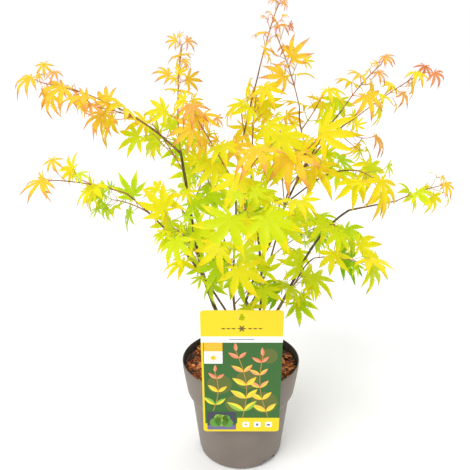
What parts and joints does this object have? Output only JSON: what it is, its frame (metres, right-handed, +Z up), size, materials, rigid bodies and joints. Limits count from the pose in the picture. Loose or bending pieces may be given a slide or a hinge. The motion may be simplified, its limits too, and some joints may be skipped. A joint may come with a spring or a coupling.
{
  "type": "potted japanese maple",
  "caption": "Young japanese maple in a tapered nursery pot, slim forked stems with sprays of pointed palmate leaves in autumn tints, and a plant card hooked on the rim.",
  "frame": {"origin": "centre of the pot's flat underside", "axes": "+Z up along the pot's axis, -Y towards the front, where the plant card hooks over the rim"},
  "size_m": [0.6497, 0.4758, 0.7081],
  "materials": {
    "pot_plastic": "moulded nursery pot plastic, satin",
    "potting_mix": "damp bark and peat, rough",
    "card_print": "printed plastic card, glossy",
    "bark": "smooth young bark",
    "leaves_lime": "thin leaf, soft sheen",
    "leaves_yellow": "thin leaf, soft sheen",
    "leaves_gold": "thin leaf, soft sheen",
    "leaves_coral": "young thin leaf, soft sheen"
  },
  "bodies": {
    "root": {"pot": "pot_plastic", "potting_mix": "potting_mix", "plant_card": "card_print", "trunk": "bark", "stem_left": "bark", "stem_right": "bark", "stem_middle": "bark", "stem_centre": "bark", "stem_back": "bark", "stem_tall": "bark", "stem_front_left": "bark", "stem_right_inner": "bark", "stem_back_left": "bark", "stem_back_right": "bark", "bough_upper_left": "bark", "bough_crown_tip": "bark", "bough_tall_right": "bark", "bough_right_upper": "bark", "bough_far_right": "bark", "bough_right_mid": "bark", "bough_right_end": "bark", "bough_right_low": "bark", "bough_front_centre": "bark", "bough_front_right": "bark", "spray_left_end": "leaves_coral", "spray_upper_left": "leaves_gold", "spray_left_top": "leaves_coral", "spray_left_shoulder": "leaves_gold", "spray_left_inner": "leaves_yellow", "spray_left_mid": "leaves_yellow", "spray_front_left_end": "leaves_yellow", "spray_front_left": "leaves_yellow", "spray_low_left": "leaves_lime", "spray_left_foot": "leaves_lime", "spray_peach": "leaves_gold", "spray_crown_tip": "leaves_coral", "spray_crown_low": "leaves_coral", "spray_centre_top": "leaves_coral", "spray_tall_right": "leaves_coral", "spray_right_shoulder": "leaves_coral", "spray_right_upper": "leaves_coral", "spray_far_right": "leaves_coral", "spray_far_right_low": "leaves_gold", "spray_right_mid": "leaves_yellow", "spray_right_knuckle": "leaves_gold", "spray_right_end": "leaves_yellow", "spray_right_side": "leaves_lime", "spray_right_low": "leaves_lime", "spray_right_foot": "leaves_lime", "spray_front_centre": "leaves_yellow", "spray_front_right": "leaves_yellow", "spray_front_upper": "leaves_gold", "spray_front_low": "leaves_lime", "spray_front_foot": "leaves_lime", "spray_back_left": "leaves_yellow", "spray_back_right": "leaves_yellow", "spray_back_high": "leaves_gold", "spray_back_middle": "leaves_lime", "spray_back_low_right": "leaves_lime", "spray_back_low_left": "leaves_lime"}
  },
  "joints": []
}
